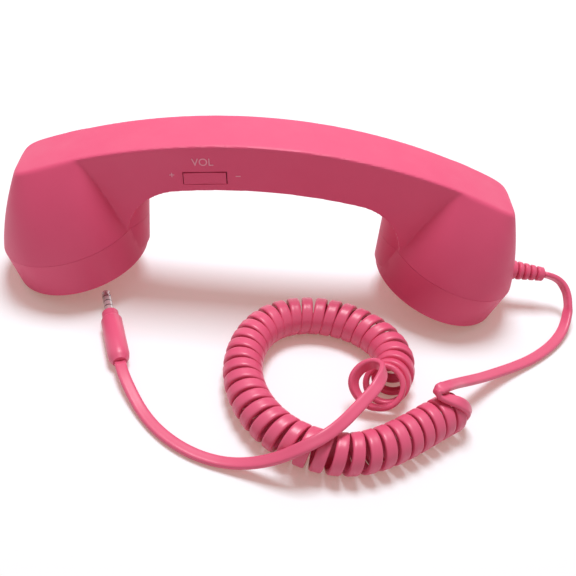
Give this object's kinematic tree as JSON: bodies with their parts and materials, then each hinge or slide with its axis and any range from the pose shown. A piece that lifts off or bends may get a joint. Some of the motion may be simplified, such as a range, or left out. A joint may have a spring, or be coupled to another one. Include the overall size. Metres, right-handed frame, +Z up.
{
  "type": "corded telephone handset",
  "caption": "Arched retro telephone handset with round tilted cups, a volume rocker, a hidden answer key and a curly flat cord ending in a small audio plug.",
  "frame": {"origin": "on the surface the handset lies on, under the middle of the handle", "axes": "+X along the handset from the ear cup to the mouth cup and its cord, +Y away from the side with the volume rocker, +Z up"},
  "size_m": [0.2348, 0.133, 0.071],
  "materials": {
    "body_top": "soft-touch matte",
    "body_side": "soft-touch matte",
    "key": "soft-touch matte",
    "cord": "satin",
    "dark_plastic": "satin",
    "screen_cloth": "woven",
    "foam": "foam",
    "steel": "satin",
    "ballast": "cast",
    "cone": "paper-like film",
    "board": "solder mask",
    "contact": "polished nickel",
    "insulator": "satin",
    "wire": "satin",
    "brass": "plain"
  },
  "bodies": {
    "handset": {"top_cover": "body_top", "lower_shell": "body_side", "ear_cap": "body_side", "mouth_cap": "body_side", "ear_screen": "screen_cloth", "speaker_gasket": "foam", "speaker_frame": "dark_plastic", "speaker_cone": "cone", "speaker_magnet": "steel", "mouth_screen": "screen_cloth", "mic_boot": "foam", "mic_capsule": "contact", "ear_weight": "ballast", "mouth_weight": "ballast", "shell_screws": "steel", "rocker_pin": "steel", "rocker_bracket": "dark_plastic", "key_board": "board", "volume_switches": "dark_plastic", "circuit_board": "board", "answer_switch": "dark_plastic", "board_chips": "dark_plastic", "board_screws": "steel", "strain_relief": "cord", "cord_lead_handset": "cord", "cord_curls": "cord", "cord_lead_plug": "cord", "cord_tie": "dark_plastic", "cord_wires": "wire", "mic_wires": "wire", "speaker_wires": "wire", "plug_body": "cord", "plug_collar": "cord", "plug_sleeve": "contact", "plug_ring_lower": "contact", "plug_ring_upper": "contact", "plug_insulators": "insulator", "plug_core": "brass", "plug_tip": "contact"},
    "rocker": {"volume_rocker": "key"},
    "answer_key": {"answer_button": "key"}
  },
  "joints": [
    {"name": "volume_rock", "type": "hinge", "parent": "handset", "child": "rocker", "pos_m": [-0.02405, -0.0071, 0.0564], "axis": [-0.1115, 0, 0.9938], "range_deg": [-3.3, 3.3], "stiffness_Nm_per_rad": 0.05},
    {"name": "answer_press", "type": "slide", "parent": "handset", "child": "answer_key", "axis": [0, 0, 1], "range_m": [0, 0.0006], "stiffness_N_per_m": 900}
  ]
}
